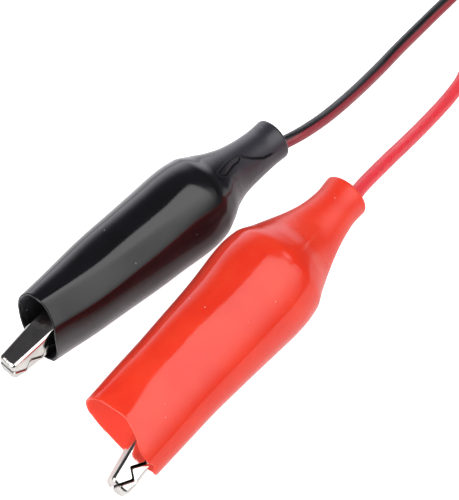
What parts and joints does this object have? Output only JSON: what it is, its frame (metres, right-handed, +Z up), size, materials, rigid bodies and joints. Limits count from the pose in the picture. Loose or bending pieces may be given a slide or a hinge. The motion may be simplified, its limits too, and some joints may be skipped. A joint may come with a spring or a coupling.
{
  "type": "alligator clip lead",
  "caption": "Electronics test lead: red and black booted spring clips on a split flat flex, which runs through a tied coil to a barrel plug.",
  "frame": {"origin": "on the table, under the middle of the two clips' joint bounding box", "axes": "-X towards the clips' noses, +X along the leads towards the plug, +Y from the red clip to the black clip, +Z up"},
  "size_m": [0.1796, 0.0423, 0.0137],
  "materials": {
    "black_boot_vinyl": "glossy dipped vinyl",
    "red_boot_vinyl": "glossy dipped vinyl",
    "clip_nickel": "bright nickel plate",
    "rivet_steel": "nickel-plated steel",
    "spring_steel": "bright drawn spring wire",
    "copper_strand": "bright copper strands",
    "black_lead_vinyl": "semi-gloss soft vinyl",
    "red_lead_vinyl": "semi-gloss soft vinyl",
    "twin_flex_vinyl": "semi-gloss soft vinyl, one red core and one black core",
    "tie_vinyl": "satin black vinyl",
    "plug_vinyl": "satin moulded vinyl",
    "barrel_nickel": "bright nickel plate",
    "lining_plastic": "moulded black nylon",
    "contact_brass": "turned brass"
  },
  "bodies": {
    "root": {"black_boot": "black_boot_vinyl", "black_lower_jaw": "clip_nickel", "black_pivot_rivet": "rivet_steel", "black_jaw_spring": "spring_steel", "black_conductor": "copper_strand", "black_lead": "black_lead_vinyl", "red_boot": "red_boot_vinyl", "red_lower_jaw": "clip_nickel", "red_pivot_rivet": "rivet_steel", "red_jaw_spring": "spring_steel", "red_conductor": "copper_strand", "red_lead": "red_lead_vinyl", "twin_flex": "twin_flex_vinyl", "flex_coil": "twin_flex_vinyl", "twin_flex_end": "twin_flex_vinyl", "coil_tie": "tie_vinyl", "plug_overmould": "plug_vinyl", "plug_barrel": "barrel_nickel", "plug_insulator": "lining_plastic", "plug_centre_contact": "contact_brass"},
    "black_moving_jaw": {"black_upper_jaw": "clip_nickel"},
    "red_moving_jaw": {"red_upper_jaw": "clip_nickel"}
  },
  "joints": [
    {"name": "black_jaw_hinge", "type": "hinge", "parent": "root", "child": "black_moving_jaw", "pos_m": [0.00155, 0.00885, 0.00778], "axis": [0.0297, 0.9996, 0], "range_deg": [0, 20], "stiffness_Nm_per_rad": 0.04, "springref_deg": -45.84, "deforming": ["black_jaw_spring", "black_boot"]},
    {"name": "red_jaw_hinge", "type": "hinge", "parent": "root", "child": "red_moving_jaw", "pos_m": [-0.00169, -0.00703, 0.00617], "axis": [0.0236, 0.5031, -0.8639], "range_deg": [0, 20], "stiffness_Nm_per_rad": 0.04, "springref_deg": -45.84, "deforming": ["red_jaw_spring", "red_boot"]}
  ]
}
